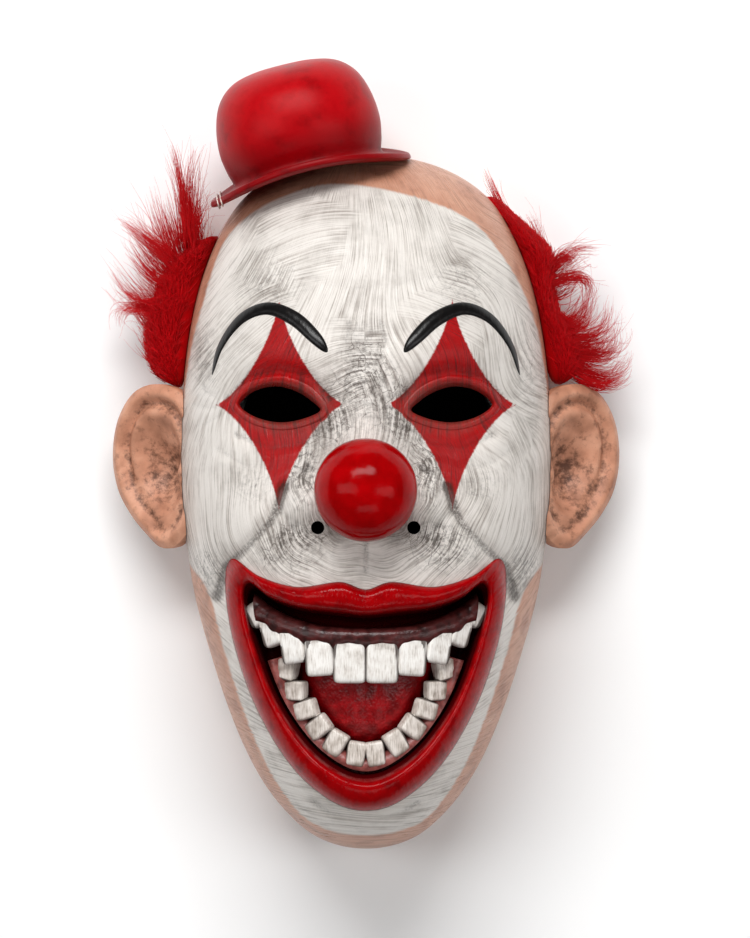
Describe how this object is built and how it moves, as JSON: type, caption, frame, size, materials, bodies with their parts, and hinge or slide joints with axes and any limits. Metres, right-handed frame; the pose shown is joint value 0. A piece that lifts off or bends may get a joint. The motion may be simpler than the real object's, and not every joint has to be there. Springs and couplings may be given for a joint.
{
  "type": "clown mask",
  "caption": "Hard plastic clown mask with a small bowler hat, fur tufts, ears, a ball nose and an open laughing mouth, lying face up.",
  "frame": {"origin": "middle of the open back, in the plane of the rim that the mask lies on", "axes": "+Y from the chin to the crown, +Z out of the face, +X to the viewer's right"},
  "size_m": [0.2329, 0.3558, 0.1531],
  "materials": {
    "white_paint": "hand brushed white over plastic, satin",
    "flesh_paint": "flesh paint with a brown wash",
    "red_paint": "glossy red",
    "red_fur": "long loose synthetic fur",
    "tooth_paint": "glossy ivory with a grey wash",
    "tongue_paint": "glossy dark red"
  },
  "bodies": {
    "root": {"mask_shell": "white_paint", "ear_left": "flesh_paint", "ear_right": "flesh_paint", "nose_ball": "red_paint", "hat": "red_paint", "hair_left": "red_fur", "hair_right": "red_fur", "upper_teeth": "tooth_paint", "lower_teeth": "tooth_paint", "tongue": "tongue_paint"}
  },
  "joints": []
}
